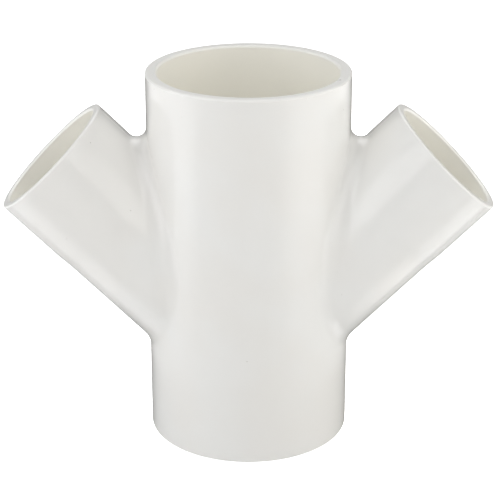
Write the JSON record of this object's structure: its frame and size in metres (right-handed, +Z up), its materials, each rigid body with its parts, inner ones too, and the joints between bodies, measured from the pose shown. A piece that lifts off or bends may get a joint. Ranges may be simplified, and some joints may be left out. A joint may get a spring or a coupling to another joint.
{
  "type": "cross fitting",
  "caption": "Moulded PVC drain fitting: a straight run crossed by smaller branches that rise at 45 degrees from either side, all with plain solvent-weld sockets.",
  "frame": {"origin": "centre of the run's bottom mouth, in the plane of its rim", "axes": "+Z up the run's axis, +X in the plane of the branches towards the right one, +Y across that plane, away from a viewer who has the right branch on the right"},
  "size_m": [0.2446, 0.1008, 0.1887],
  "materials": {
    "pvc": "gloss"
  },
  "bodies": {
    "root": {"fitting_body": "pvc"}
  },
  "joints": []
}
